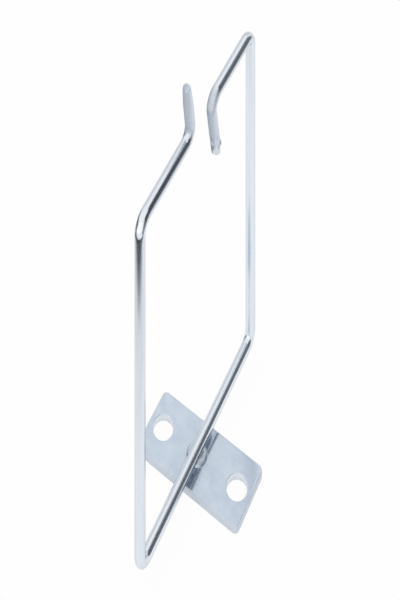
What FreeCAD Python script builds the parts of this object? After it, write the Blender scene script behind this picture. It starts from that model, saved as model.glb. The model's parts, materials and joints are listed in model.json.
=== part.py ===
import FreeCAD, Part
import math
import os

from FreeCAD import Vector

# Cable management ring: a bent steel wire ring with an S-shaped mouth, welded to a small screw-on plate.
# Millimetres. +Z is up. The origin is the middle of the plate's underside, which is the mounting face.
# The ring stands in the XZ plane, and the plate's long side runs along Y.

# Wire ring
wire_diameter = 3.0
ring_width = 63.2  # outside, along X
ring_height = 96.8  # outside, along Z, without the end that stands up
bend_inner_radius = 1.75
ring_shift_x = 0.25  # middle of the ring from the middle of the plate
ring_shift_y = 0.45  # the wire crosses the plate a little nearer to one hole

# Mouth in the ring's top side: one end turns up and out, the other turns down and in
mouth_width = 7.6  # clear between the two ends, level with the top side
mouth_shift_x = 1.25  # middle of the mouth from the middle of the ring
end_up_lean = 8.7  # degrees, each end leans away from the mouth towards its tip
end_down_lean = 10.6
end_up_length = 16.0  # from the corner to the tip
end_down_length = 18.5

# Tips of the wire: a little thinner towards the cut, with a rounded rim
tip_neck_length = 3.5
tip_neck_diameter = 2.6
tip_rim_radius = 0.8

# Mounting plate
hole_diameter = 6.0
hole_pitch = 25.0
hole_end_land = 1.5  # metal between a hole and the plate's end
plate_width = 15.5
plate_thickness = 2.0
plate_corner_radius = 1.5
plate_edge_radius = 0.3  # rounding of the upper outer edges
hole_rim_break = 0.3  # bevel round the holes' upper rims

# Weld projection: a round flat-topped boss pressed up out of the plate, which carries the wire
boss_diameter = 5.9  # at the plate's top face
boss_height = 1.25
boss_shift_y = 0.85  # middle of the boss from the middle of the plate
boss_wall_lean = 20.0  # degrees from upright, of the boss's wall and the recess's wall
boss_shoulder_radius = 0.3  # between wall and top
recess_diameter = 4.6  # hollow that the press leaves in the underside
recess_depth = 1.1

# Weld between wire and boss
weld_set_down = 0.2  # how far the wire is sunk into the boss
weld_length = 3.4
weld_bead_radius = 0.5  # of each bead of squeezed-out metal, at its middle
weld_bead_offset = 0.85  # from the wire's axis to the bead's axis

wire_radius = wire_diameter / 2
bend_radius = bend_inner_radius + wire_radius
plate_length = hole_pitch + hole_diameter + 2 * hole_end_land
boss_top = plate_thickness + boss_height
axis_z = boss_top + wire_radius - weld_set_down
tip_radius = tip_neck_diameter / 2

UP = Vector(0, 0, 1)
ALONG_X = Vector(1, 0, 0)
ALONG_Y = Vector(0, 1, 0)


def lean_direction(degrees, sign_x, sign_z):
    """Unit vector of an end piece: along Z, leaning by so many degrees towards sign_x."""
    lean = math.radians(degrees)
    return Vector(sign_x * math.sin(lean), 0, sign_z * math.cos(lean))


def half_section(degrees):
    """Half the width of a leaning wire, measured level."""
    return wire_radius / math.cos(math.radians(degrees))


def ring_corners():
    """Sharp corners of the wire's centre line, from the tip that stands up to the tip that hangs down."""
    left = ring_shift_x - ring_width / 2 + wire_radius
    right = ring_shift_x + ring_width / 2 - wire_radius
    top = axis_z + ring_height - wire_diameter
    mouth_x = ring_shift_x + mouth_shift_x
    bend_up = Vector(mouth_x - mouth_width / 2 - half_section(end_up_lean), ring_shift_y, top)
    bend_down = Vector(mouth_x + mouth_width / 2 + half_section(end_down_lean), ring_shift_y, top)
    return [
        bend_up + lean_direction(end_up_lean, -1, 1) * end_up_length,
        bend_up,
        Vector(left, ring_shift_y, top),
        Vector(left, ring_shift_y, axis_z),
        Vector(right, ring_shift_y, axis_z),
        Vector(right, ring_shift_y, top),
        bend_down,
        bend_down + lean_direction(end_down_lean, 1, -1) * end_down_length,
    ]


def round_face(centre, direction):
    """The wire's round section, as a face across the given direction."""
    return Part.Face(Part.Wire(Part.makeCircle(wire_radius, centre, direction)))


def rounded_tip(tip, direction):
    """The last stretch of the wire, turned about its axis: a slight taper, a rounded rim and a flat end."""
    neck_start = tip - direction * tip_neck_length
    shoulder = tip - direction * tip_rim_radius
    rim_reach = ALONG_Y * (tip_radius - tip_rim_radius)
    rim_middle = shoulder + rim_reach + (direction + ALONG_Y).normalize() * tip_rim_radius
    skin = neck_start + ALONG_Y * wire_radius
    rim_start = shoulder + ALONG_Y * tip_radius
    rim_end = tip + rim_reach
    rim = Part.Arc(rim_start, rim_middle, rim_end).toShape()
    lines = [Part.makeLine(neck_start, skin), Part.makeLine(skin, rim_start), rim]
    lines += [Part.makeLine(rim_end, tip), Part.makeLine(tip, neck_start)]
    return neck_start, Part.Face(Part.Wire(lines)).revolve(neck_start, direction, 360)


def bent_wire(corners):
    """Round wire along straight runs, with a bend at each inner corner and two rounded tips."""
    start, first_tip = rounded_tip(corners[0], (corners[0] - corners[1]).normalize())
    finish, last_tip = rounded_tip(corners[-1], (corners[-1] - corners[-2]).normalize())
    pieces = [first_tip, last_tip]
    for before, corner, after in zip(corners, corners[1:], corners[2:]):
        inward = (corner - before).normalize()
        outward = (after - corner).normalize()
        turn = inward.getAngle(outward)
        reach = bend_radius * math.tan(turn / 2)
        bend_start = corner - inward * reach
        bend_axis = inward.cross(outward).normalize()
        bend_centre = bend_start + bend_axis.cross(inward) * bend_radius
        section = round_face(start, inward)
        pieces.append(section.extrude(bend_start - start))
        section = round_face(bend_start, inward)
        pieces.append(section.revolve(bend_centre, bend_axis, math.degrees(turn)))
        start = corner + outward * reach
    section = round_face(start, finish - start)
    pieces.append(section.extrude(finish - start))
    return pieces[0].multiFuse(pieces[1:]).removeSplitter()


def pressed_boss(centre, diameter, height):
    """Round flat-topped boss with a leaning wall and a rounded shoulder, as a solid that rises along Z."""
    lean = math.radians(boss_wall_lean)
    foot = centre + ALONG_X * (diameter / 2)
    up_the_wall = Vector(-math.sin(lean), 0, math.cos(lean))
    shoulder = foot + up_the_wall * (height / math.cos(lean))
    trim = boss_shoulder_radius * math.tan((math.pi / 2 - lean) / 2)
    wall_end = shoulder - up_the_wall * trim
    top_start = shoulder - ALONG_X * trim
    outward = Vector(math.cos(lean), 0, math.sin(lean)) + UP
    between = top_start - UP * boss_shoulder_radius + outward.normalize() * boss_shoulder_radius
    crown = centre + UP * height
    lines = [Part.makeLine(centre, foot), Part.makeLine(foot, wall_end)]
    lines += [Part.Arc(wall_end, between, top_start).toShape()]
    lines += [Part.makeLine(top_start, crown), Part.makeLine(crown, centre)]
    return Part.Face(Part.Wire(lines)).revolve(centre, UP, 360)


def make_mounting_plate(wire_ring):
    """Flat plate with two screw holes and a pressed-up boss, in whose top the wire is bedded."""
    corner = Vector(-plate_width / 2, -plate_length / 2, 0)
    plate = Part.makeBox(plate_width, plate_length, plate_thickness, corner)
    upright_edges = [edge for edge in plate.Edges if abs(edge.tangentAt(edge.FirstParameter).z) > 0.5]
    plate = plate.makeFillet(plate_corner_radius, upright_edges)
    upper_edges = [edge for edge in plate.Edges if edge.BoundBox.ZMin > plate_thickness / 2]
    plate = plate.makeFillet(plate_edge_radius, upper_edges)
    hole_radius = hole_diameter / 2
    for side in (-1, 1):
        centre = Vector(0, side * hole_pitch / 2, 0)
        rim = centre + UP * (plate_thickness - hole_rim_break)
        bore = Part.makeCylinder(hole_radius, plate_thickness, centre, UP)
        bevel = Part.makeCone(hole_radius, hole_radius + hole_rim_break, hole_rim_break, rim, UP)
        plate = plate.cut([bore, bevel])
    boss = pressed_boss(Vector(0, boss_shift_y, plate_thickness), boss_diameter, boss_height)
    recess = pressed_boss(Vector(0, boss_shift_y, 0), recess_diameter, recess_depth)
    return plate.fuse(boss).cut([recess, wire_ring])


def make_weld(wire_ring, mounting_plate):
    """Squeezed-out metal: a round-ended bead in the nook on each side of the wire, on the boss."""
    bead_run = weld_length - 2 * weld_bead_radius
    beads = []
    for side in (-1, 1):
        bead_y = ring_shift_y + side * weld_bead_offset
        start = Vector(-bead_run / 2, bead_y, boss_top - weld_set_down)
        bead = Part.makeCylinder(weld_bead_radius, bead_run, start, ALONG_X)
        ends = [Part.makeSphere(weld_bead_radius, start + ALONG_X * run) for run in (0, bead_run)]
        beads.append(bead.multiFuse(ends).cut([mounting_plate, wire_ring]))
    return Part.makeCompound([solid for bead in beads for solid in bead.Solids])


def main():
    os.makedirs("parts", exist_ok=True)
    wire_ring = bent_wire(ring_corners())
    mounting_plate = make_mounting_plate(wire_ring)
    weld = make_weld(wire_ring, mounting_plate)
    wire_ring.exportStep("parts/wire_ring.step")
    mounting_plate.exportStep("parts/mounting_plate.step")
    weld.exportStep("parts/weld.step")


main()
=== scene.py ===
import json
import math
from collections import namedtuple
from functools import partial

import bmesh
import bpy
from bpy.props import FloatProperty, FloatVectorProperty, IntProperty, PointerProperty
from bpy.types import NodeSocket, Operator, Panel, PropertyGroup
from mathutils import Matrix, Vector, noise


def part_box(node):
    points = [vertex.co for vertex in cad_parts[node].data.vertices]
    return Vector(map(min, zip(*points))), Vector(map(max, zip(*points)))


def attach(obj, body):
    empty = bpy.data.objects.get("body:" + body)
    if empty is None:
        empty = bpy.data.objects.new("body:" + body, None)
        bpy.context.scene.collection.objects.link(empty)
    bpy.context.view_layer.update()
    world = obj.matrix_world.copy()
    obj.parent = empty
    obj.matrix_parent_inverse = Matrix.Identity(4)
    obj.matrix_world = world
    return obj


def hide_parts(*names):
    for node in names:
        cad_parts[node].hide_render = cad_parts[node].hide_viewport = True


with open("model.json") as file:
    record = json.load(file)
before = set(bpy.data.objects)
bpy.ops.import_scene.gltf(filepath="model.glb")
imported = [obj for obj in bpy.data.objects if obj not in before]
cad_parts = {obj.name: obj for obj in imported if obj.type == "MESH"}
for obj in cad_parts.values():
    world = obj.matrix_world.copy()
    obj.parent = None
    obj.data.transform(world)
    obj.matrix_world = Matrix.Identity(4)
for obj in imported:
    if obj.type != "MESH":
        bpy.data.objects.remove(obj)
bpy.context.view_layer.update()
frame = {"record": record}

bl_info = {
    "name": "Cable Ring",
    "version": (1, 0, 0),
    "blender": (4, 5, 0),
    "location": "View3D > Sidebar > Cable Ring",
    "description": "Dresses a zinc-plated wire cable ring on its screw plate and sets a plain studio stage",
    "category": "Object",
}

# The built part that the pieces dress, in metres
WIRE_LOW, WIRE_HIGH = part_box("wire_ring")
PLATE_LOW, PLATE_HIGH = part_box("mounting_plate")
WIRE_Y = (WIRE_LOW.y + WIRE_HIGH.y) / 2
BOSS_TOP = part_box("weld")[0].z  # the weld's solids start on the boss's flat top
SCREW_HOLES = next(mount["dims"] for mount in frame["record"]["mounts"] if mount["name"] == "screw_holes")
MM = 0.001
UP = Vector((0, 0, 1))


# Settings that a user may change

def millimetres(name, description, default, least=0.0, most=1000.0):
    """A length setting with its limits."""
    return FloatProperty(
        name=name, description=description, default=default * MM,
        min=least * MM, max=most * MM, precision=6, unit="LENGTH")


def degrees(name, description, default, least=-180, most=180):
    """An angle setting with its limits."""
    return FloatProperty(
        name=name, description=description, default=math.radians(default),
        min=math.radians(least), max=math.radians(most), subtype="ANGLE")


def colour(name, description, default):
    """A colour setting."""
    return FloatVectorProperty(
        name=name, description=description, default=default, size=3, min=0.0, max=1.0, subtype="COLOR")


class WireSettings(PropertyGroup):
    """Sizes and colours of the bent wire"""

    diameter: millimetres("Diameter", "Thickness of the wire", (WIRE_HIGH.y - WIRE_LOW.y) / MM, 0.5)
    bend_inner_radius: millimetres("Bend Radius", "Inside radius of every bend", 1.75, 0.1)
    mouth_width: millimetres("Mouth", "Clear width between the two ends", 7.6)
    mouth_shift: millimetres("Mouth Shift", "Middle of the mouth from the middle of the ring", 1.25, -100.0)
    end_up_lean: degrees("Lean Up", "How far the standing end leans away from the mouth", 8.7)
    end_down_lean: degrees("Lean Down", "How far the hanging end leans away from the mouth", 10.6)
    end_up_length: millimetres("Standing End", "Length of the end that stands up", 16.0, 1.0)
    end_down_length: millimetres("Hanging End", "Length of the end that hangs down", 18.5, 1.0)
    tip_taper: millimetres("Tip Taper", "Length of the thinner stretch at each tip", 5.0, 1.0)
    smear_length: millimetres(
        "Smears", "Length over which the cutter has smeared the plating of the hanging end", 8.0, 1.0)
    tip_diameter: millimetres("Tip Diameter", "Thickness of the standing end at its tip", 2.3, 1.0)
    cut_diameter: millimetres("Cut Diameter", "Thickness of the hanging end at its cut", 2.84, 1.0)
    tip_rim: millimetres("Tip Rim", "Rounding of each tip's rim", 0.45, 0.05, 0.49)
    sides: IntProperty(name="Facets", description="Facets round the wire", default=64, min=12, max=128)
    bright: colour("Bright Zinc", "Palest tone of the plating on the wire", (0.80, 0.845, 0.90))
    dull: colour("Dull Zinc", "Deepest tone of the plating on the wire", (0.755, 0.803, 0.868))
    # The two tones of the matte ends below are a shaded and a lit copy; a painted shade mixes them across
    # each end, darker on the side away from the burr
    matte: colour("Matte Ends", "Deepest tone of the duller plating on the two ends", (0.27, 0.335, 0.45))
    matte_pale: colour("Pale Ends", "Palest tone of the duller plating on the two ends", (0.76, 0.83, 0.95))


class PlateSettings(PropertyGroup):
    """Sizes and colours of the screw plate"""

    hole_diameter: millimetres("Hole", "Diameter of a screw hole", 2 * SCREW_HOLES["hole_r_mm"], 0.5)
    hole_pitch: millimetres("Pitch", "Distance between the screw holes", SCREW_HOLES["spacing_y_mm"], 1.0)
    corner_radius: millimetres("Corners", "Radius of the plate's corners", 1.5, 0.8)
    boss_diameter: millimetres("Boss", "Diameter of the pressed-up boss under the wire", 5.9, 1.0)
    boss_shift: millimetres("Boss Shift", "Middle of the boss from the middle of the plate", 0.85, -100.0)
    boss_height: millimetres("Boss Height", "Height of the boss above the plate", 1.25, 0.2)
    boss_lean: degrees("Boss Wall", "Lean of the boss's wall from upright", 28, 0, 60)
    boss_shoulder: millimetres("Boss Shoulder", "Rounding between the boss's wall and its top", 0.8, 0.05)
    boss_foot: millimetres("Boss Foot", "Hollow rounding between the boss's wall and the plate", 0.3, 0.05)
    recess_diameter: millimetres("Recess", "Diameter of the hollow under the boss", 4.6, 1.0)
    recess_depth: millimetres("Recess Depth", "Depth of the hollow under the boss", 1.1, 0.1)
    thickness: millimetres("Thickness", "Thickness of the plate", 2.0, 0.5)
    edge_radius: millimetres(
        "Rolled Edge", "Rounding that the punch leaves on the upper edges", 0.42, 0.05, 0.5)
    bright: colour("Bright Zinc", "Palest tone of the plating on the plate", (0.62, 0.695, 0.795))
    dull: colour("Dull Zinc", "Deepest tone of the plating on the plate", (0.54, 0.62, 0.725))


class WeldSettings(PropertyGroup):
    """Sizes and colours of the two weld beads"""

    length: millimetres("Length", "Length of a bead along the wire", 3.4, 1.0)
    radius: millimetres("Radius", "Radius of a bead at its middle", 0.5, 0.1)
    offset: millimetres("Offset", "Middle of a bead from the middle of the wire", 0.85)
    sunk: millimetres("Sunk", "Middle of a bead below the flat top of the boss", 0.2)
    bright: colour("Bright Zinc", "Palest tone of the plated weld", (0.74, 0.79, 0.84))
    dull: colour("Heat Tint", "Deepest tone of the plated weld", (0.40, 0.46, 0.53))


class StageSettings(PropertyGroup):
    """Camera, floor and light"""

    view_turn: degrees("View Turn", "How far the camera has gone round to the plate's left", 58.129)
    camera_distance: millimetres("Distance", "Camera from the origin, measured along the floor", 415.431)
    camera_side: millimetres("Side Step", "Camera to the right of the line through the origin", 0.153, -100.0)
    camera_height: millimetres("Height", "Camera above the floor", 545.152)
    back_distance: FloatProperty(
        name="Back", description="Upright picture plane from the lens, in picture heights",
        default=2.395702, precision=5)
    horizon: FloatProperty(
        name="Horizon", description="Horizon above the picture's middle, in picture heights",
        default=2.871142, precision=5)
    floor: colour("Floor", "Colour of the floor", (0.96, 0.96, 0.96))
    back: colour("Back Card", "Colour of the pale card behind that the metal reflects", (0.88, 0.89, 0.91))
    card: colour("Dark Card", "Colour of the dark cards that the metal reflects", (0.088, 0.104, 0.130))


# Shader helpers

VECTOR, FLOAT, COLOUR = "NodeSocketVector", "NodeSocketFloat", "NodeSocketColor"


def node(tree, kind, **values):
    """Adds a node with the given settings."""
    made = tree.nodes.new(kind)
    for name, value in values.items():
        setattr(made, name, value)
    return made


def feed(socket, term):
    """Gives an input its value: another socket, a number, or three numbers for a vector or a colour."""
    if isinstance(term, NodeSocket):
        socket.id_data.links.new(term, socket)
    elif socket.type == "RGBA":
        socket.default_value = (*term, 1.0)
    else:
        socket.default_value = term


def feed_all(sockets, terms):
    """Gives several inputs their values; the keys of terms are the inputs' names or places."""
    for key, term in terms.items():
        feed(sockets[key], term)


def math_node(operation, first, *others, clamp=False):
    """Adds a Math node to the tree of its first term, a socket; the others are sockets or numbers."""
    made = node(first.id_data, "ShaderNodeMath", operation=operation, use_clamp=clamp)
    feed_all(made.inputs, dict(enumerate((first, *others))))
    return made.outputs[0]


def times(first, second):
    """The product of two sockets, or of a socket and a number."""
    return math_node("MULTIPLY", first, second)


def shifted(base, *parts):
    """A value from 0 to 1 that masks change; each part is a mask and how much it adds."""
    for mask, amount in parts:
        base = math_node("MULTIPLY_ADD", mask, amount, base, clamp=True)
    return base


def scaled_vector(vector, factors):
    """A vector socket multiplied, axis by axis, by three numbers."""
    made = node(vector.id_data, "ShaderNodeVectorMath", operation="MULTIPLY")
    feed_all(made.inputs, {0: vector, 1: factors})
    return made.outputs[0]


def noise_value(vector, scale, detail, roughness=0.5):
    """Noise from 0 to 1; scale is a socket or a number."""
    made = node(vector.id_data, "ShaderNodeTexNoise")
    feed_all(made.inputs, {"Vector": vector, "Scale": scale, "Detail": detail, "Roughness": roughness})
    return made.outputs["Fac"]


def stretch_range(value, low, high, to_low=0.0, to_high=1.0, smooth=True):
    """Maps a value from low..high to to_low..to_high; the targets are sockets or numbers."""
    made = node(value.id_data, "ShaderNodeMapRange", clamp=True)
    made.interpolation_type = "SMOOTHSTEP" if smooth else "LINEAR"
    terms = {"Value": value, "From Min": low, "From Max": high, "To Min": to_low, "To Max": to_high}
    feed_all(made.inputs, terms)
    return made.outputs["Result"]


def mixed_colour(factor, first, second):
    """Mixes two colours; each is a socket or three numbers."""
    made = node(factor.id_data, "ShaderNodeMix", data_type="RGBA")
    feed_all(made.inputs, {0: factor, 6: first, 7: second})  # 6 and 7 are the node's inputs for colours
    return made.outputs[2]


def tinted(base, *layers):
    """A colour with others laid over it; each layer is a mask, its strength and a colour."""
    for mask, strength, tone in layers:
        base = mixed_colour(times(mask, strength), base, tone)
    return base


def attribute(tree, name, output="Fac"):
    """Reads a named mesh attribute."""
    return node(tree, "ShaderNodeAttribute", attribute_name=name).outputs[output]


def bump(shader, layers):
    """Stacks bump layers, each a height socket with a depth in metres, onto the shader's normal."""
    normal = None
    for height, depth in layers:
        made = node(shader.id_data, "ShaderNodeBump")
        feed_all(made.inputs, {"Distance": depth, "Height": height})
        if normal:
            feed(made.inputs["Normal"], normal)
        normal = made.outputs["Normal"]
    feed(shader.inputs["Normal"], normal)


def new_material(name, values):
    """A material whose shader has the given values; returns the material, its tree and the shader."""
    material = bpy.data.materials.new(name)
    material.use_nodes = True
    tree = material.node_tree
    shader = tree.nodes["Principled BSDF"]
    feed_all(shader.inputs, values)
    return material, tree, shader


def show_mix(factor, first, second):
    """Shows a mix of two shaders as the material's surface."""
    tree = factor.id_data
    mix = node(tree, "ShaderNodeMixShader")
    feed_all(mix.inputs, {0: factor, 1: first.outputs[0], 2: second.outputs[0]})
    feed(tree.nodes["Material Output"].inputs["Surface"], mix.outputs[0])


# Effects that several finishes share

def made_once(make):
    """Lets a function make its node group, named like the function, only the first time."""
    def group():
        return bpy.data.node_groups.get(make.__name__) or make(make.__name__)
    return group


def new_group(name, inputs, outputs):
    """An empty shader node group with named sockets; returns its tree, inputs and outputs."""
    tree = bpy.data.node_groups.new(name, "ShaderNodeTree")
    for direction, sockets in (("INPUT", inputs), ("OUTPUT", outputs)):
        for label, kind in sockets.items():
            tree.interface.new_socket(name=label, in_out=direction, socket_type=kind)
    return tree, node(tree, "NodeGroupInput").outputs, node(tree, "NodeGroupOutput").inputs


def place_group(tree, group, **values):
    """Places a node group; values are sockets, numbers or colours for its inputs."""
    made = node(tree, "ShaderNodeGroup", node_tree=group)
    feed_all(made.inputs, {name.title(): term for name, term in values.items()})
    return made.outputs


@made_once
def zinc_bloom(name):
    """Cloudy change of tone and gloss in the zinc, the same kind on every piece."""
    tree, given, out = new_group(
        name,
        {"Vector": VECTOR, "Scale": FLOAT, "Bright": COLOUR, "Dull": COLOUR, "Smooth": FLOAT, "Rough": FLOAT},
        {"Color": COLOUR, "Roughness": FLOAT})
    broad = noise_value(given["Vector"], given["Scale"], detail=4.0, roughness=0.55)
    fine = noise_value(given["Vector"], times(given["Scale"], 9.0), detail=3.0, roughness=0.6)
    both = math_node("ADD", times(broad, 0.68), times(fine, 0.32))
    cloud = stretch_range(both, 0.33, 0.67)
    tone = mixed_colour(cloud, given["Dull"], given["Bright"])
    gloss = stretch_range(cloud, 0.0, 1.0, given["Rough"], given["Smooth"], smooth=False)
    feed_all(out, {"Color": tone, "Roughness": gloss})
    return tree


@made_once
def drawn_lines(name):
    """Fine lines that run along the third axis of the vector, as drawing and rolling leave them."""
    tree, given, out = new_group(name, {"Vector": VECTOR, "Lines": FLOAT}, {"Height": FLOAT, "Streak": FLOAT})
    fine = scaled_vector(given["Vector"], (1.0, 1.0, 0.012))
    broad = scaled_vector(given["Vector"], (1.0, 1.0, 0.03))
    streak = noise_value(broad, times(given["Lines"], 0.22), detail=2.0)
    feed(out["Height"], noise_value(fine, given["Lines"], detail=5.0, roughness=0.62))
    feed(out["Streak"], stretch_range(streak, 0.35, 0.65))
    return tree


@made_once
def rubbed_edges(name):
    """Mask of the edges and crowns that handling has rubbed bright, broken up unevenly."""
    tree, given, out = new_group(name, {"Vector": VECTOR, "Edge": FLOAT, "Scale": FLOAT}, {"Mask": FLOAT})
    spots = noise_value(given["Vector"], given["Scale"], detail=5.0, roughness=0.6)
    broken = math_node("ADD", given["Edge"], math_node("SUBTRACT", spots, 0.5))
    feed(out["Mask"], stretch_range(broken, 0.25, 0.95))
    return tree


@made_once
def fine_scuffs(name):
    """Mask of hairline scuffs in two directions and of tiny pits in the plating."""
    tree, given, out = new_group(name, {"Vector": VECTOR, "Scale": FLOAT}, {"Scuff": FLOAT, "Pit": FLOAT})
    scuffs = []
    for stretch in ((1.0, 0.05, 0.4), (0.06, 0.8, 1.0)):
        lines = noise_value(scaled_vector(given["Vector"], stretch), given["Scale"], detail=2.0)
        scuffs.append(stretch_range(lines, 0.66, 0.74))
    feed(out["Scuff"], math_node("MAXIMUM", *scuffs))
    pits = noise_value(given["Vector"], times(given["Scale"], 2.5), detail=1.0)
    feed(out["Pit"], stretch_range(pits, 0.70, 0.80))
    return tree


def zinc_layers(tree, tones, clouds, place, scales, gloss):
    """What every finish has: cloudy zinc, rubbed edges and scuffs, with their scales and two roughnesses."""
    cloud_scale, rub_scale, scuff_scale = scales
    smooth, rough = gloss
    bloom = place_group(
        tree, zinc_bloom(), vector=clouds, scale=cloud_scale,
        bright=tones.bright, dull=tones.dull, smooth=smooth, rough=rough)
    worn = place_group(tree, rubbed_edges(), vector=place, edge=attribute(tree, "rubbed"), scale=rub_scale)
    marks = place_group(tree, fine_scuffs(), vector=place, scale=scuff_scale)
    return bloom, worn["Mask"], marks


# Finishes, with the tones that wear and working leave in the zinc, and painted shade for the boss's foot and
# for one side of the hanging end

GRAZING = (0.80, 0.81, 0.82)  # the wire reflects less where it is seen at a slant
RUBBED_WIRE, PITTED_WIRE = (0.86, 0.88, 0.90), (0.42, 0.46, 0.51)
RUBBED_PLATE, PITTED_PLATE = (0.89, 0.915, 0.945), (0.40, 0.45, 0.51)
# dark cutter marks and chips, and painted shade on the hanging end's side away from the burr
BRUISE_AND_SHADE = (0.17, 0.20, 0.25)
FRESH_CUT = (0.90, 0.92, 0.94)
TORN = (0.76, 0.82, 0.90)
# painted shade for the hollow round the boss's foot
CREASE_SHADE = (0.30, 0.36, 0.43)


def wire_finish(wire):
    """Bright zinc on drawn wire: lines along it, rubbed bends, matte ends with a painted shade across them, a
    pale cut, and dark bruises that include a painted shade on one side of the hanging end.
    """
    material, tree, shader = new_material("zinc_on_drawn_wire", {"Specular Tint": GRAZING})
    along = attribute(tree, "unrolled", "Vector")
    drawn = scaled_vector(along, (1.0, 1.0, 0.05))
    scales = (420.0, 900.0, 2600.0)
    bloom, worn, marks = zinc_layers(tree, wire, drawn, along, scales, gloss=(0.12, 0.19))
    lines = place_group(tree, drawn_lines(), vector=along, lines=6000.0)
    cut, matte = attribute(tree, "cut"), attribute(tree, "matte")
    # painted shade: each matte end is darker on the side away from the burr, with random smears on the
    # hanging end
    ends = mixed_colour(attribute(tree, "painted_shade_and_smear"), wire.matte_pale, wire.matte)
    tone = tinted(
        bloom["Color"],
        (lines["Streak"], 0.6, wire.bright),
        (matte, 0.85, ends),
        (worn, 0.6, RUBBED_WIRE),
        (marks["Pit"], 0.5, PITTED_WIRE),
        # bruises and chips from the cutter, with a painted shade on the side away from the burr
        (attribute(tree, "bruise_and_shade"), 0.85, BRUISE_AND_SHADE),
        (cut, 0.85, FRESH_CUT))
    gloss = shifted(bloom["Roughness"], (marks["Scuff"], 0.10), (worn, -0.04), (matte, 0.42), (cut, 0.15))
    metal = shifted(1.0, (matte, -0.75))
    feed_all(shader.inputs, {"Base Color": tone, "Metallic": metal, "Roughness": gloss})
    bump(shader, [(lines["Height"], 0.006 * MM), (marks["Scuff"], -0.003 * MM), (marks["Pit"], -0.01 * MM)])
    return material


def plate_finish(plate):
    """Satin zinc on rolled plate: faint rolling lines, rubbed edges, pale rough tears, and a painted shade in
    the hollow round the boss's foot.
    """
    material, tree, shader = new_material("zinc_on_rolled_plate", {})
    place = node(tree, "ShaderNodeTexCoord").outputs["Object"]
    scales = (330.0, 1300.0, 1900.0)
    bloom, worn, marks = zinc_layers(tree, plate, place, place, scales, gloss=(0.15, 0.24))
    parts = node(tree, "ShaderNodeSeparateXYZ")
    feed(parts.inputs[0], place)
    rolled = node(tree, "ShaderNodeCombineXYZ")
    for source, target in (("X", "X"), ("Z", "Y"), ("Y", "Z")):  # the lines run along the plate's long side
        feed(rolled.inputs[target], parts.outputs[source])
    lines = place_group(tree, drawn_lines(), vector=rolled.outputs[0], lines=5200.0)
    torn = attribute(tree, "torn")
    tone = tinted(
        bloom["Color"],
        (lines["Streak"], 0.22, plate.bright),
        (worn, 0.8, RUBBED_PLATE),
        (marks["Pit"], 0.4, PITTED_PLATE),
        (torn, 0.8, TORN),
        # painted shade in the hollow round the boss's foot
        (attribute(tree, "crease"), 0.6, CREASE_SHADE))
    gloss = shifted(bloom["Roughness"], (marks["Scuff"], 0.10), (worn, -0.03), (torn, 0.45))
    metal = shifted(0.85, (torn, -0.65))
    feed_all(shader.inputs, {"Base Color": tone, "Metallic": metal, "Roughness": gloss})
    grain = noise_value(scaled_vector(place, (1.0, 1.0, 0.25)), 5200.0, detail=3.0)
    tear = times(grain, torn)
    bump(shader, [(lines["Height"], 0.002 * MM), (marks["Scuff"], -0.002 * MM), (tear, 0.012 * MM)])
    return material


def weld_finish(weld):
    """Zinc over weld metal: blotchy tone, dull skin and a grainy surface."""
    material, tree, shader = new_material("zinc_on_weld", {"Metallic": 1.0})
    place = node(tree, "ShaderNodeTexCoord").outputs["Object"]
    scales = (700.0, 1500.0, 3200.0)
    bloom, worn, marks = zinc_layers(tree, weld, place, place, scales, gloss=(0.22, 0.42))
    tone = tinted(bloom["Color"], (worn, 1.0, weld.bright), (marks["Pit"], 0.6, weld.dull))
    gloss = shifted(bloom["Roughness"], (worn, -0.12))
    feed_all(shader.inputs, {"Base Color": tone, "Roughness": gloss})
    grain = noise_value(place, 2600.0, detail=4.0, roughness=0.6)
    bump(shader, [(grain, 0.03 * MM), (marks["Pit"], -0.02 * MM)])
    return material


# Mesh helpers

def clamped(share):
    """A share kept between 0 and 1."""
    return min(1.0, max(0.0, share))


def uneven(point, size):
    """Smooth unevenness from -1 to 1 that changes over about the given size."""
    return noise.noise(point / size)


def turns_round(count):
    """Angles of so many even steps round a circle."""
    return [math.tau * step / count for step in range(count)]


def band(first, second, turned):
    """Corners of each face between two closed loops of as many points; turned faces look the other way."""
    for index in range(len(first)):
        after = (index + 1) % len(first)
        corners = (first[index], second[index], second[after], first[after])
        yield corners if turned else tuple(reversed(corners))


def add_tube(faces, start, end, sides, turned):
    """Joins rings of points, numbered from start up to end, into a tube; returns its first and last ring."""
    rings = [range(first, first + sides) for first in range(start, end, sides)]
    for ring, following in zip(rings, rings[1:]):
        faces.extend(band(ring, following, turned))
    return rings[0], rings[-1]


def new_mesh(name, points, faces, marks):
    """A mesh with one number per point for each named mark."""
    mesh = bpy.data.meshes.new(name)
    mesh.from_pydata(points, [], faces)
    for mark, shares in marks.items():
        mesh.attributes.new(mark, "FLOAT", "POINT").data.foreach_set("value", shares)
    return mesh


def add_object(name, data):
    """Adds an object to the scene."""
    made = bpy.data.objects.new(name, data)
    bpy.context.scene.collection.objects.link(made)
    return made


def finish_piece(name, mesh, material, cad_node, sharp_angle):
    """Makes the object of a piece, shades it and lets it stand for its built node."""
    mesh.materials.append(material)
    mesh.shade_smooth()
    mesh.set_sharp_from_angle(angle=math.radians(sharp_angle))
    piece = add_object(name, mesh)
    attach(piece, "root")
    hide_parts(cad_node)


# Bent wire

Station = namedtuple("Station", "middle along bend_side depth matte")

# Sides of the ends: the cutter's jaws closed on the hanging end from JAW and from opposite; its burr is on
# BURR_SIDE. A painted shade makes both ends paler on BURR_SIDE and darker on the opposite side
JAW = Vector((-0.85, -0.53, 0)).normalized()
BURR_SIDE = Vector((0.53, -0.85, 0)).normalized()

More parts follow.
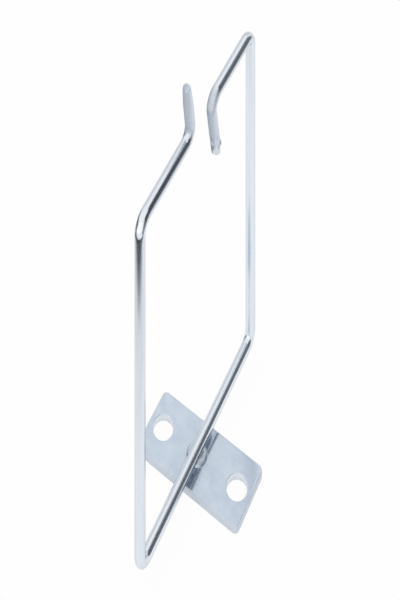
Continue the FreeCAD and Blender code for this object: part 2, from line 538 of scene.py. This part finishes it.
# Flats that the cutter pressed into the hanging end: side, reach from the middle line at the tip, length
CUTTER_FLATS = (
    (JAW, 0.6 * MM, 4.0 * MM),
    (-JAW, 0.6 * MM, 4.0 * MM),
    (BURR_SIDE, 0.45 * MM, 1.1 * MM),
    (-BURR_SIDE, 0.35 * MM, 1.3 * MM),
)
BURR_FROM_TIP, BURR_HEIGHT, BURR_RUN = 3.05 * MM, 0.32 * MM, 1.8 * MM
WAIST_DEPTH = 0.20 * MM  # of the pinched stretch between the burr and the cut
BURR_STEP = 0.15 * MM  # over which the burr drops to the waist
OUTER_FLATTENING, INNER_FLATTENING = 0.045, 0.03  # share of the radius that a bend loses
FINE_STEP, COARSE_STEP = 0.07 * MM, 1.2 * MM  # between rings of points, near a tip and elsewhere
RIM_STEPS = 10
BEND_STEP = 4  # degrees


def lean_direction(lean, side, rise):
    """Direction of an end: upright, leaning to the given side."""
    return Vector((side * math.sin(lean), 0, rise * math.cos(lean)))


def wire_corners(wire):
    """Sharp corners of the wire's middle line, from the standing tip to the hanging tip."""
    radius = wire.diameter / 2
    left = WIRE_LOW.x + radius
    right = WIRE_HIGH.x - radius
    bottom = WIRE_LOW.z + radius
    up, down = wire.end_up_lean, wire.end_down_lean
    rim = wire.tip_rim
    rise = (wire.end_up_length - rim) * math.cos(up) + (wire.tip_diameter / 2 - rim) * math.sin(up) + rim
    top = WIRE_HIGH.z - rise
    mouth_x = (left + right) / 2 + wire.mouth_shift
    bend_up = Vector((mouth_x - wire.mouth_width / 2 - radius / math.cos(up), WIRE_Y, top))
    bend_down = Vector((mouth_x + wire.mouth_width / 2 + radius / math.cos(down), WIRE_Y, top))
    return [
        bend_up + lean_direction(up, -1, 1) * wire.end_up_length,
        bend_up,
        Vector((left, WIRE_Y, top)),
        Vector((left, WIRE_Y, bottom)),
        Vector((right, WIRE_Y, bottom)),
        Vector((right, WIRE_Y, top)),
        bend_down,
        bend_down + lean_direction(down, 1, -1) * wire.end_down_length,
    ]


def run_marks(run, rim, neck):
    """Distances along a straight run; close together over a tip's rim and neck, wide apart elsewhere."""
    marks = [0.0]
    if neck:
        turns = [math.radians(90 / RIM_STEPS * step) for step in range(RIM_STEPS + 1)]
        marks = [rim * (1 - math.cos(turn)) for turn in turns]
    while marks[-1] < run:
        marks.append(min(run, marks[-1] + (FINE_STEP if marks[-1] < neck else COARSE_STEP)))
    return marks


def bend_matte(share, first, last):
    """How matte the plating is along a bend: it changes only in the bend next to each end."""
    matte = 0.0
    if first:
        matte = clamped(1.7 * (1 - share) - 0.5)
    elif last:
        matte = clamped(2.6 * share + 0.1)
    return matte * matte * (3 - 2 * matte)


def wire_stations(wire, corners):
    """Stations along the middle line, close together in the bends and at the tips."""
    bend_radius = wire.bend_inner_radius + wire.diameter / 2
    stations = []
    start = corners[0]
    for index in range(1, len(corners) - 1):
        corner = corners[index]
        inward = (corner - corners[index - 1]).normalized()
        outward = (corners[index + 1] - corner).normalized()
        turn = inward.angle(outward)
        reach = bend_radius * math.tan(turn / 2)
        axis = inward.cross(outward).normalized()
        bend_start = corner - inward * reach
        centre = bend_start + axis.cross(inward) * bend_radius
        first, last = index == 1, index == len(corners) - 2
        marks = run_marks((bend_start - start).length, wire.tip_rim, wire.tip_taper if first else 0)
        for mark in marks[0 if first else 1:-1]:
            stations.append(Station(start + inward * mark, inward, 0.0, 0.0, float(first)))
        steps = max(8, round(math.degrees(turn) / BEND_STEP))
        for step in range(steps + 1):
            share = step / steps
            spin = Matrix.Rotation(turn * share, 3, axis)
            middle = centre + spin @ (bend_start - centre)
            depth = math.sin(math.pi * share) ** 0.7
            stations.append(Station(middle, spin @ inward, axis.y, depth, bend_matte(share, first, last)))
        start = corner + outward * reach
    tip = corners[-1]
    direction = (tip - start).normalized()
    for mark in reversed(run_marks((tip - start).length, wire.tip_rim, wire.smear_length)[:-1]):
        stations.append(Station(tip - direction * mark, direction, 0.0, 0.0, 1.0))
    return stations


def tip_radius(wire, to_tip, tip_diameter):
    """Radius of the wire at a distance from its tip: a slight taper, then a rounded rim."""
    radius = wire.diameter / 2
    if to_tip < wire.tip_taper:
        radius -= (wire.diameter - tip_diameter) / 2 * (1 - to_tip / wire.tip_taper)
    if to_tip < wire.tip_rim:
        radius -= wire.tip_rim * (1 - math.sqrt(1 - (1 - to_tip / wire.tip_rim) ** 2))
    return radius


def cropped(wire, offset, to_tip):
    """Marks of the cutter on the hanging end: flats that make a blunt wedge, a waist and a burr above it.

    Takes a point's offset from the middle line; returns it changed, with its shares of bare cut and of
    bruise, which holds a dark burr and a painted shade on the side away from the burr.
    """
    chip = 0.10 * MM * uneven(offset + Vector((0, 0, to_tip)), 0.5 * MM)
    bare, shrunk = 0.0, 1.0
    for side, at_tip, run in CUTTER_FLATS:
        if to_tip < run:
            limit = at_tip + (wire.diameter / 2 - at_tip) * to_tip / run + chip
            reach = offset.dot(side)
            if reach > limit:
                bare, shrunk = 1.0, min(shrunk, limit / reach)
    turned = offset.normalized().dot(BURR_SIDE)
    to_neck = wire.tip_taper - to_tip
    past_burr = to_tip - BURR_FROM_TIP
    waist = WAIST_DEPTH * clamped(-past_burr / BURR_STEP)
    burr = BURR_HEIGHT * min(clamped(to_neck / BURR_RUN), clamped(past_burr / BURR_STEP))
    # painted shade: the side away from the burr is darker over the last few millimetres of the hanging end
    shaded_side = clamped((-turned - 0.3) / 0.35) * clamped(to_neck / (1.2 * MM)) * (1 - bare)
    beside = max(0.0, turned) ** 7
    bare = max(bare, beside * clamped(waist / (0.1 * MM)))
    bruise_and_shade = max(shaded_side, beside * clamped(burr / (0.05 * MM)))
    return offset * shrunk + BURR_SIDE * beside * (burr - waist), bare, bruise_and_shade


def skin_point(wire, station, to_tip, hanging, turn):
    """A point of the wire's skin at a turn round the middle line, with the shares of its surface marks."""
    across = Vector((-station.along.z, 0, station.along.x))
    thick = tip_radius(wire, to_tip, wire.cut_diameter if hanging else wire.tip_diameter)
    outside = math.cos(turn) * station.bend_side * station.depth
    flattening = OUTER_FLATTENING if outside > 0 else INNER_FLATTENING
    flat = thick * math.cos(turn) * (1 - flattening * outside * outside)
    offset = across * flat + Vector((0, thick * math.sin(turn), 0))
    bare, bruise_and_shade = 0.0, 0.0
    if hanging and to_tip < wire.tip_taper:
        offset, bare, bruise_and_shade = cropped(wire, offset, to_tip)
    turned = offset.normalized().dot(BURR_SIDE)  # painted sheen and painted shade: the ends shine more on the burr's side and are darker on the side away from it
    # painted sheen: each end is less matte, and so reflects more, on the burr's side
    painted_sheen = 0.25 + 0.25 * turned
    shade = 0.45 - 0.55 * turned if hanging else 0.28 - 0.5 * turned
    if hanging and to_tip < wire.smear_length:
        smear = uneven(Vector((offset.x, offset.y, 0.35 * to_tip)), 0.7 * MM)
        shade -= 1.6 * smear * clamped((wire.smear_length - to_tip) / (1.5 * MM))
    elif to_tip < wire.tip_rim:
        painted_sheen *= to_tip / wire.tip_rim
    matte = station.matte * (1 - bare) * (1 - painted_sheen)
    rubbed = 0.75 * max(0.0, outside)
    marks = {"rubbed": rubbed, "cut": bare, "matte": matte, "painted_shade_and_smear": clamped(shade), "bruise_and_shade": bruise_and_shade}
    return station.middle + offset, marks


def cap_point(tip, rim_point, share, inwards, hanging):
    """A point of the cut face at a tip, a share of the way from the middle to the rim, with its marks."""
    place = tip.lerp(rim_point, share)
    torn = 0.5 + 0.5 * uneven(place, 0.45 * MM)
    chip = max(0.0, 4 * torn - 2.2) if hanging else 0.0
    cut = 1.0 - chip if hanging else 0.0
    marks = {"rubbed": 0.2, "cut": cut, "matte": 1.0, "painted_shade_and_smear": 0.5, "bruise_and_shade": chip}
    return place + inwards * (0.07 * MM * torn), marks, tuple(place - tip)


def build_wire_mesh(wire):
    """Round wire with flattened bends and two cropped tips."""
    radius = wire.diameter / 2
    stations = wire_stations(wire, wire_corners(wire))
    lengths = [0.0]
    for before, after in zip(stations, stations[1:]):
        lengths.append(lengths[-1] + (after.middle - before.middle).length)
    points, faces, unrolled = [], [], []
    marks = {name: [] for name in ("rubbed", "cut", "matte", "painted_shade_and_smear", "bruise_and_shade")}

    def add_point(place, shares, flat_place):
        points.append(place)
        unrolled.extend(flat_place)
        for name, share in shares.items():
            marks[name].append(share)

    for station, run in zip(stations, lengths):
        to_end = lengths[-1] - run
        for turn in turns_round(wire.sides):
            place, shares = skin_point(wire, station, min(run, to_end), to_end < run, turn)
            add_point(place, shares, (radius * math.cos(turn), radius * math.sin(turn), run))
    first, last = add_tube(faces, 0, len(points), wire.sides, True)
    for outer, station, hanging in ((first, stations[0], False), (last, stations[-1], True)):
        inwards = -station.along if hanging else station.along
        rim = [points[index] for index in outer]
        for share in (0.8, 0.6, 0.4, 0.2):
            inner = range(len(points), len(points) + wire.sides)
            for rim_point in rim:
                add_point(*cap_point(station.middle, rim_point, share, inwards, hanging))
            faces.extend(band(outer, inner, hanging))
            outer = inner
        faces.append(tuple(reversed(outer)) if hanging else tuple(outer))
    mesh = new_mesh("bent_wire", points, faces, marks)
    mesh.attributes.new("unrolled", "FLOAT_VECTOR", "POINT").data.foreach_set("vector", unrolled)
    return mesh


# Screw plate

ROUND_STEPS = 72  # points round a hole or the boss
CORNER_STEPS = 9
EDGE_STEP = 0.5 * MM  # between points along the straight edges
SHOULDER_STEPS = 8
FACE_STRIP = 0.3 * MM  # strip of each flat face that belongs to a wall
TEAR_DEPTH = 0.05 * MM


def round_places(centre, radius):
    """Points round a circle."""
    return [centre + Vector((math.cos(turn), math.sin(turn))) * radius for turn in turns_round(ROUND_STEPS)]


def plate_edge(corner_radius, inset):
    """Points round the plate's outline, moved inwards by inset; every inset gives as many points."""
    half_x = (PLATE_HIGH.x - PLATE_LOW.x) / 2 - corner_radius
    half_y = (PLATE_HIGH.y - PLATE_LOW.y) / 2 - corner_radius
    reach = corner_radius - inset
    arcs = []
    for quarter, (side_x, side_y) in enumerate(((1, 1), (-1, 1), (-1, -1), (1, -1))):
        centre = Vector((side_x * half_x, side_y * half_y))
        turns = [math.radians(90 * (quarter + step / CORNER_STEPS)) for step in range(CORNER_STEPS + 1)]
        arcs.append([centre + Vector((math.cos(turn), math.sin(turn))) * reach for turn in turns])
    points = []
    for arc, following in zip(arcs, arcs[1:] + arcs[:1]):
        count = max(2, round((following[0] - arc[-1]).length / EDGE_STEP))
        points += arc
        points += [arc[-1].lerp(following[0], step / count) for step in range(1, count)]
    return points


def hole_edge(centre, radius, inset):
    """Points round a screw hole, moved into the metal by inset."""
    return round_places(centre, radius + inset)


def wall_profile(thickness, edge_radius, flare, burnish, tear):
    """Section of a sheared wall from the upper to the lower face: inset, height, rub and tear."""
    profile = [(edge_radius + FACE_STRIP, thickness, 0.0, 0.0)]
    for turn in (math.radians(15 * step) for step in range(7)):
        inset = edge_radius * (1 - math.sin(turn))
        height = thickness - edge_radius * (1 - math.cos(turn))
        profile.append((inset, height, burnish * math.sin(turn), tear * math.sqrt(math.sin(turn))))
    for height in (0.62, 0.52):  # the upright band, in shares of the thickness
        profile.append((0.0, height * thickness, burnish, tear))
    for share, height in ((0.2, 0.46), (0.55, 0.25), (0.8, 0.07)):  # the band below it flares
        profile.append((share * flare, height * thickness, 0.7 * burnish, tear))
    profile.append((flare, 0.03 * thickness, 0.5 * burnish, 0.6 * tear))
    profile.append((flare + 0.06 * MM, 0.0, 0.5 * burnish, 0.0))
    profile.append((flare + FACE_STRIP, 0.0, 0.0, 0.0))
    return profile


def add_loop(bm, layers, places, **marks):
    """Adds a loop of points with the same marks on each."""
    loop = [bm.verts.new(place) for place in places]
    for vert in loop:
        for name, share in marks.items():
            vert[layers[name]] = share
    return loop


def join_loops(bm, loops, inwards):
    """Joins closed loops of as many points, one after another, with faces."""
    for upper, lower in zip(loops, loops[1:]):
        for corners in band(upper, lower, inwards):
            bm.faces.new(corners)


def add_wall(bm, layers, outline, profile, inwards):
    """Adds a sheared wall round an outline; returns its upper and lower rims."""
    loops = []
    for inset, height, rub, tear in profile:
        places = []
        for flat, deep in zip(outline(inset), outline(inset + TEAR_DEPTH)):
            ragged = 0.5 + 0.5 * uneven(Vector((flat.x, flat.y, 0.4 * height)), 0.3 * MM)
            places.append((*flat.lerp(deep, ragged * tear), PLATE_LOW.z + height))
        loops.append(add_loop(bm, layers, places, rubbed=rub, torn=tear))
    join_loops(bm, loops, inwards)
    return loops[0], loops[-1]


def boss_profile(diameter, height, lean, shoulder, foot):
    """Section of a pressed boss from its foot to near its middle: reach, rise, rub, painted shade of the
    hollow foot, and tear.
    """
    edge = diameter / 2
    turn = math.pi / 2 - lean
    foot_start = edge + foot * math.tan(turn / 2)
    top_edge = edge - height * math.tan(lean) - shoulder * math.tan(turn / 2)
    shares = [step / SHOULDER_STEPS for step in range(SHOULDER_STEPS + 1)]
    profile = []
    for share in shares:
        reach, rise = foot_start - foot * math.sin(turn * share), foot * (1 - math.cos(turn * share))
        # painted shade, darkest in the middle of the hollow foot
        crease = math.sin(math.pi * (share * SHOULDER_STEPS + 0.5) / (SHOULDER_STEPS + 1))
        profile.append((reach, rise, 0.0, crease, 0.0))
    wall_top = (top_edge + shoulder * math.sin(turn), height - shoulder * (1 - math.cos(turn)))
    half_way = [(low + high) / 2 for low, high in zip(profile[-1], wall_top)]
    profile.append((*half_way, 0.0, 0.0, 0.2))
    for share in shares:
        left = turn * (1 - share)
        reach, rise = top_edge + shoulder * math.sin(left), height - shoulder * (1 - math.cos(left))
        rub, stretched = 0.8 * math.sin(math.pi * share), 0.9 * math.cos(math.pi / 2 * share)
        profile.append((reach, rise, rub, 0.0, stretched))
    for share in (0.85, 0.7, 0.55, 0.4, 0.25, 0.1):
        profile.append((top_edge * share, height, 0.0, 0.0, 0.0))
    return profile


def add_boss(bm, layers, centre, base_z, profile):
    """Adds a round boss with the given section; returns the rim of its foot."""
    loops = []
    for reach, rise, rub, crease, tear in profile:
        places = []
        for place in round_places(centre, reach):
            dent = 0.012 * MM * uneven(Vector((*place, rise)), 0.8 * MM) * (rise > 0.1 * MM)
            places.append((*place, base_z + rise + dent))
        loops.append(add_loop(bm, layers, places, rubbed=rub, crease=crease, torn=tear))
    join_loops(bm, loops, True)
    bm.faces.new(loops[-1])
    return loops[0]


def fill_face(bm, rims, direction):
    """Fills a flat face of the plate between its rims; direction is 1 for the upper one, -1 for the lower."""
    edges = [bm.edges.get(pair) for rim in rims for pair in zip(rim, rim[1:] + rim[:1])]
    bmesh.ops.triangle_fill(bm, use_beauty=True, edges=edges, normal=(0, 0, direction))


def build_plate_mesh(plate):
    """Plate with rolled upper edges, sheared walls, two punched screw holes and a pressed-up boss."""
    bm = bmesh.new()
    layers = {name: bm.verts.layers.float.new(name) for name in ("rubbed", "torn", "crease")}
    outer = wall_profile(plate.thickness, plate.edge_radius, flare=0.05 * MM, burnish=0.3, tear=1.0)
    punched = wall_profile(plate.thickness, 0.4 * plate.edge_radius, flare=0.03 * MM, burnish=1.0, tear=0.3)
    rims = [add_wall(bm, layers, partial(plate_edge, plate.corner_radius), outer, True)]
    for side in (-1, 1):
        centre = Vector((0, side * plate.hole_pitch / 2))
        rims.append(add_wall(bm, layers, partial(hole_edge, centre, plate.hole_diameter / 2), punched, False))
    middle = Vector((0, plate.boss_shift))
    lean, shoulder, foot = plate.boss_lean, plate.boss_shoulder, plate.boss_foot
    raised = boss_profile(plate.boss_diameter, plate.boss_height, lean, shoulder, foot)
    hollow = boss_profile(plate.recess_diameter, plate.recess_depth, lean, shoulder, 0.4 * foot)
    boss = add_boss(bm, layers, middle, PLATE_LOW.z + plate.thickness, raised)
    recess = add_boss(bm, layers, middle, PLATE_LOW.z, hollow)
    fill_face(bm, [upper for upper, lower in rims] + [boss], 1)
    fill_face(bm, [lower for upper, lower in rims] + [recess], -1)
    bmesh.ops.recalc_face_normals(bm, faces=bm.faces)
    mesh = bpy.data.meshes.new("screw_plate")
    bm.to_mesh(mesh)
    bm.free()
    return mesh


# Weld beads

BEAD_STEPS, BEAD_SIDES = 56, 36
RIPPLE_LENGTH = 0.9 * MM


def build_weld_mesh(weld):
    """Squeezed-out metal: a lumpy bead on each side of the wire, sunk into the wire and the boss."""
    points, faces, rubbed = [], [], []
    for side in (-1, 1):
        base = len(points)
        middle = Vector((0, WIRE_Y + side * weld.offset, BOSS_TOP - weld.sunk))
        reach = Vector((weld.length / 2 * 0.99, 0, 0))
        points.append(middle - reach)
        rubbed.append(0.0)
        for step in range(1, BEAD_STEPS):
            share = 2 * step / BEAD_STEPS - 1
            swell = weld.radius * (1 - abs(share) ** 3.2) ** 0.55
            ripple = 0.02 * math.sin(math.tau * share * weld.length / RIPPLE_LENGTH)
            for turn in turns_round(BEAD_SIDES):
                away = Vector((0, math.cos(turn), math.sin(turn)))
                place = middle + reach * share + away * swell
                lump = 0.5 + 0.5 * uneven(place + UP * (side * 5 * MM), 0.55 * MM)
                points.append(middle + reach * share + away * swell * (0.80 + ripple + 0.17 * lump))
                rubbed.append(0.85 * lump * max(0.0, math.sin(turn)))
        tip = len(points)
        points.append(middle + reach)
        rubbed.append(0.0)
        first, last = add_tube(faces, base + 1, tip, BEAD_SIDES, False)
        for index in range(BEAD_SIDES):
            after = (index + 1) % BEAD_SIDES
            faces.append((base, first[after], first[index]))
            faces.append((tip, last[index], last[after]))
    return new_mesh("weld_beads", points, faces, {"rubbed": rubbed})


# Stage

Card = namedtuple("Card", "name lines colour margins strength glow", defaults=(0.0,))

MATT = {"Roughness": 1.0, "Specular IOR Level": 0.0}
FLOOR_REACH = 3.0  # metres from the origin to each edge
FLOOR_DEPTH = 0.02 * MM  # below the plate's underside, so that the two faces do not coincide
ARC_STEPS = 32


def shown_rays(tree):
    """1 for camera rays and for rays that metal or glass sends on, 0 for light that falls on things."""
    path = node(tree, "ShaderNodeLightPath").outputs
    glossy = math_node("MAXIMUM", path["Is Glossy Ray"], path["Is Transmission Ray"])
    return math_node("MAXIMUM", path["Is Camera Ray"], glossy)


def white_world():
    """Even white surround: full white where it is seen, a little less as light."""
    world = bpy.data.worlds.new("white_surround")
    world.use_nodes = True
    tree = world.node_tree
    background = tree.nodes["Background"].inputs
    strength = math_node("MULTIPLY_ADD", shown_rays(tree), 0.2, 0.8)
    feed_all(background, {"Color": (1.0, 1.0, 1.0), "Strength": strength})
    bpy.context.scene.world = world


def floor_finish(stage):
    """Pale floor: mostly plain white where it is seen, and partly lit, so that a faint shadow stays."""
    material, tree, shader = new_material("pale_floor", {"Base Color": stage.floor, **MATT})
    white = node(tree, "ShaderNodeEmission")
    feed(white.inputs["Strength"], 1.0)
    show_mix(times(shown_rays(tree), 0.95), shader, white)
    return material


def card_finish(card):
    """Card with soft edges; its margins are the fading shares at its left, right, lower and upper edges."""
    lit = {"Base Color": card.colour, "Emission Color": card.colour, "Emission Strength": card.glow}
    material, tree, shader = new_material(card.name, {**lit, **MATT})
    parts = node(tree, "ShaderNodeSeparateXYZ")
    feed(parts.inputs[0], node(tree, "ShaderNodeTexCoord").outputs["UV"])
    left, right, lower, upper = card.margins
    cover = stretch_range(parts.outputs["X"], 0.0, left, 0.0, card.strength)
    for axis, start, end in (("X", 1.0, 1.0 - right), ("Y", 0.0, lower), ("Y", 1.0, 1.0 - upper)):
        cover = times(cover, stretch_range(parts.outputs[axis], start, end))
    show_mix(cover, node(tree, "ShaderNodeBsdfTransparent"), shader)
    return material


def add_sheet(name, lines, material):
    """A sheet of the stage between two lines of as many points, the lower or nearer one first."""
    lower, upper = lines
    count = len(lower)
    faces = [(step, step + 1, count + step + 1, count + step) for step in range(count - 1)]
    mesh = new_mesh(name, [*lower, *upper], faces, {})
    layer = mesh.uv_layers.new(name="UVMap")
    for place, corner in zip(layer.data, mesh.loops):
        row, step = divmod(corner.vertex_index, count)
        place.uv = (step / (count - 1), row)
    mesh.materials.append(material)
    sheet = add_object(name, mesh)
    return sheet


def only_reflected(sheet):
    """Keeps a card out of the picture and out of the light, so that only shiny metal shows it."""
    for ray in ("camera", "diffuse", "shadow", "transmission", "volume_scatter"):
        setattr(sheet, f"visible_{ray}", False)


def view_axes(stage):
    """Directions of the picture on the floor: to the right, and away from the camera."""
    turn = stage.view_turn
    return Vector((math.cos(turn), -math.sin(turn), 0)), Vector((math.sin(turn), math.cos(turn), 0))


def flat_lines(stage, left, to_right, near, far, height):
    """Near and far edge of a level sheet, measured along the picture's directions."""
    right, ahead = view_axes(stage)
    return [[UP * height + right * x + ahead * y for x in (left, to_right)] for y in (near, far)]


def arc_line(stage, centre, radius, start, end, height):
    """Points on an arc about a centre; 0 degrees is away from the camera, 90 to the picture's right."""
    right, ahead = view_axes(stage)
    turns = [math.radians(start + (end - start) * step / ARC_STEPS) for step in range(ARC_STEPS + 1)]
    level = centre + UP * height
    return [level + (right * math.sin(turn) + ahead * math.cos(turn)) * radius for turn in turns]


def stage_cards(stage):
    """Cards that stand in for an unknown studio; each has soft margins, and only the metal shows it."""
    right, ahead = view_axes(stage)
    pool = ahead * 0.014 - right * 0.002  # middle of the pale pool of floor round the part
    dark, darker, white = stage.card, stage.card * 0.4, (1.0, 1.0, 1.0)
    flat = partial(flat_lines, stage)

    def wall(radius, start, end, bottom, top):
        return [arc_line(stage, Vector(), radius, start, end, height) for height in (bottom, top)]

    def ring(near, far, start, end, height):
        return [arc_line(stage, pool, radius, start, end, height) for radius in (near, far)]

    # Sizes in metres; sheets on the floor lie at heights of their own, so that none coincide
    return (
        Card("dark_side", wall(0.40, 38, 166, 0, 0.66), dark, (0.2, 0.22, 0.07, 0.42), 0.92),
        Card("dark_near", wall(0.16, 70, 160, 0.11, 0.31), darker, (0.25, 0.25, 0.2, 0.25), 0.8),
        Card("dark_high", wall(0.16, 38, 100, 0.23, 0.37), darker, (0.45, 0.2, 0.15, 0.3), 0.85),
        Card("dark_ring", ring(0.100, 0.185, -70, -238, 0.30 * MM), darker, (0.12, 0.14, 0.22, 0.5), 1.0),
        # grey_ring is painted shade: a slightly darker floor near the part, seen only in the metal
        Card("grey_ring", ring(0.055, 0.125, -70, -238, 0.25 * MM), dark, (0.12, 0.14, 0.45, 0.2), 0.13),
        Card("dark_left", flat(-0.6, -0.085, -0.14, 0.04, 0.35 * MM), dark, (0.1, 0.07, 0.2, 0.25), 0.8),
        Card("dark_back", flat(-0.6, -0.15, 0.0, 0.32, 0.28 * MM), dark, (0.1, 0.15, 0.05, 0.2), 1.0),
        Card("dark_corner", flat(0.085, 0.42, -0.45, -0.045, 0.40 * MM), dark, (0.12, 0.01, 0.3, 0.10), 0.75),
        Card("dark_right", flat(0.12, 0.40, -0.5, 0.45, 0.45 * MM), dark, (0.9, 0.01, 0.3, 0.3), 0.7),
        Card("dark_low", wall(0.6, -108, -40, 0, 0.36), dark, (0.12, 0.2, 0.02, 0.35), 0.85),
        Card("pale_back", wall(0.9, -65, 45, 0, 0.9), stage.back, (0.15, 0.15, 0.01, 0.25), 1.0),
        Card("bright_front", wall(0.8, -178, -112, 0, 0.75), white, (0.15, 0.15, 0.02, 0.2), 1.0, 0.45),
    )


def add_camera(stage):
    """Camera with an upright back, as a view camera has.

    The photograph looks down on the ring while its uprights stay parallel and upright, which a lens gives
    when its picture plane is kept upright and moved far down. The camera here looks along the line of sight
    and hangs in a carrier whose scale slants its picture plane upright. A camera that is taken off the
    carrier is an ordinary one.
    """
    right, ahead = view_axes(stage)
    place = right * stage.camera_side - ahead * stage.camera_distance + UP * stage.camera_height
    sight = math.hypot(stage.back_distance, stage.horizon)
    back = (UP * stage.horizon - ahead * stage.back_distance) / sight
    half = (math.pi / 2 - math.atan2(stage.horizon, stage.back_distance)) / 2
    carrier = add_object("camera_carrier", None)
    turn = Matrix((right, (UP + back).normalized(), (back - UP).normalized())).transposed().to_4x4()
    slant = Matrix.Diagonal((1, math.sqrt(2) * math.cos(half), math.sqrt(2) * math.sin(half), 1))
    carrier.matrix_world = Matrix.Translation(place) @ turn @ slant
    data = bpy.data.cameras.new("view_camera")
    data.sensor_width = 36
    data.lens = sight * data.sensor_width
    data.clip_start = 0.01
    camera = add_object("view_camera", data)
    camera.parent = carrier
    camera.rotation_euler = (-math.radians(45), 0, 0)
    bpy.context.scene.camera = camera


def add_soft_lamp(name, place, size, strength):
    """Large soft lamp that looks at the ring; strength is its brightness as a share of white."""
    data = bpy.data.lights.new(name, "AREA")
    data.shape = "DISK"
    data.size = size
    data.energy = strength * math.pi * (math.pi * size * size / 4)
    lamp = add_object(name, data)
    lamp.visible_glossy = False
    lamp.location = place
    lamp.rotation_euler = (UP * 0.05 - place).to_track_quat("-Z", "Y").to_euler()


# Operators

class CABLERING_OT_wire(Operator):
    """Builds the bent wire in place of its built node"""

    bl_idname = "cablering.wire"
    bl_label = "Bent Wire"

    def execute(self, context):
        wire = context.scene.cable_ring_wire
        finish_piece("bent_wire", build_wire_mesh(wire), wire_finish(wire), "wire_ring", 28)
        return {"FINISHED"}


class CABLERING_OT_plate(Operator):
    """Builds the screw plate in place of its built node"""

    bl_idname = "cablering.plate"
    bl_label = "Screw Plate"

    def execute(self, context):
        plate = context.scene.cable_ring_plate
        mesh, material = build_plate_mesh(plate), plate_finish(plate)
        finish_piece("screw_plate", mesh, material, "mounting_plate", 40)
        return {"FINISHED"}


class CABLERING_OT_weld(Operator):
    """Builds the two weld beads in place of their built node"""

    bl_idname = "cablering.weld"
    bl_label = "Weld Beads"

    def execute(self, context):
        weld = context.scene.cable_ring_weld
        finish_piece("weld_beads", build_weld_mesh(weld), weld_finish(weld), "weld", 50)
        return {"FINISHED"}


class CABLERING_OT_stage(Operator):
    """Sets the surround, the floor, the cards that the metal reflects, the lamp and the camera"""

    bl_idname = "cablering.stage"
    bl_label = "Stage"

    def execute(self, context):
        stage = context.scene.cable_ring_stage
        right, ahead = view_axes(stage)
        context.scene.view_settings.view_transform = "Standard"
        white_world()
        edges = flat_lines(stage, -FLOOR_REACH, FLOOR_REACH, -FLOOR_REACH, FLOOR_REACH, -FLOOR_DEPTH)
        add_sheet("floor", edges, floor_finish(stage))
        for card in stage_cards(stage):
            only_reflected(add_sheet(card.name, card.lines, card_finish(card)))
        add_soft_lamp("soft_lamp", ahead * 0.5 - right * 0.5 + UP * 1.2, size=0.8, strength=1.0)
        add_camera(stage)
        return {"FINISHED"}


class CABLERING_PT_sidebar(Panel):
    """Lists the pieces and the stage"""

    bl_idname = "CABLERING_PT_sidebar"
    bl_label = "Cable Ring"
    bl_space_type = "VIEW_3D"
    bl_region_type = "UI"
    bl_category = "Cable Ring"

    def draw(self, context):
        for settings, group, operator in PIECES:
            box = self.layout.box()
            box.operator(operator.bl_idname)
            for name in group.__annotations__:
                box.prop(getattr(context.scene, settings), name)


PIECES = (
    ("cable_ring_wire", WireSettings, CABLERING_OT_wire),
    ("cable_ring_plate", PlateSettings, CABLERING_OT_plate),
    ("cable_ring_weld", WeldSettings, CABLERING_OT_weld),
    ("cable_ring_stage", StageSettings, CABLERING_OT_stage),
)


def register():
    for settings, group, operator in PIECES:
        bpy.utils.register_class(group)
        bpy.utils.register_class(operator)
        setattr(bpy.types.Scene, settings, PointerProperty(type=group))
    bpy.utils.register_class(CABLERING_PT_sidebar)


def unregister():
    bpy.utils.unregister_class(CABLERING_PT_sidebar)
    for settings, group, operator in reversed(PIECES):
        delattr(bpy.types.Scene, settings)
        bpy.utils.unregister_class(operator)
        bpy.utils.unregister_class(group)


def main():
    register()
    bpy.ops.cablering.wire()
    bpy.ops.cablering.plate()
    bpy.ops.cablering.weld()
    bpy.ops.cablering.stage()


if __name__ == "__main__":
    main()
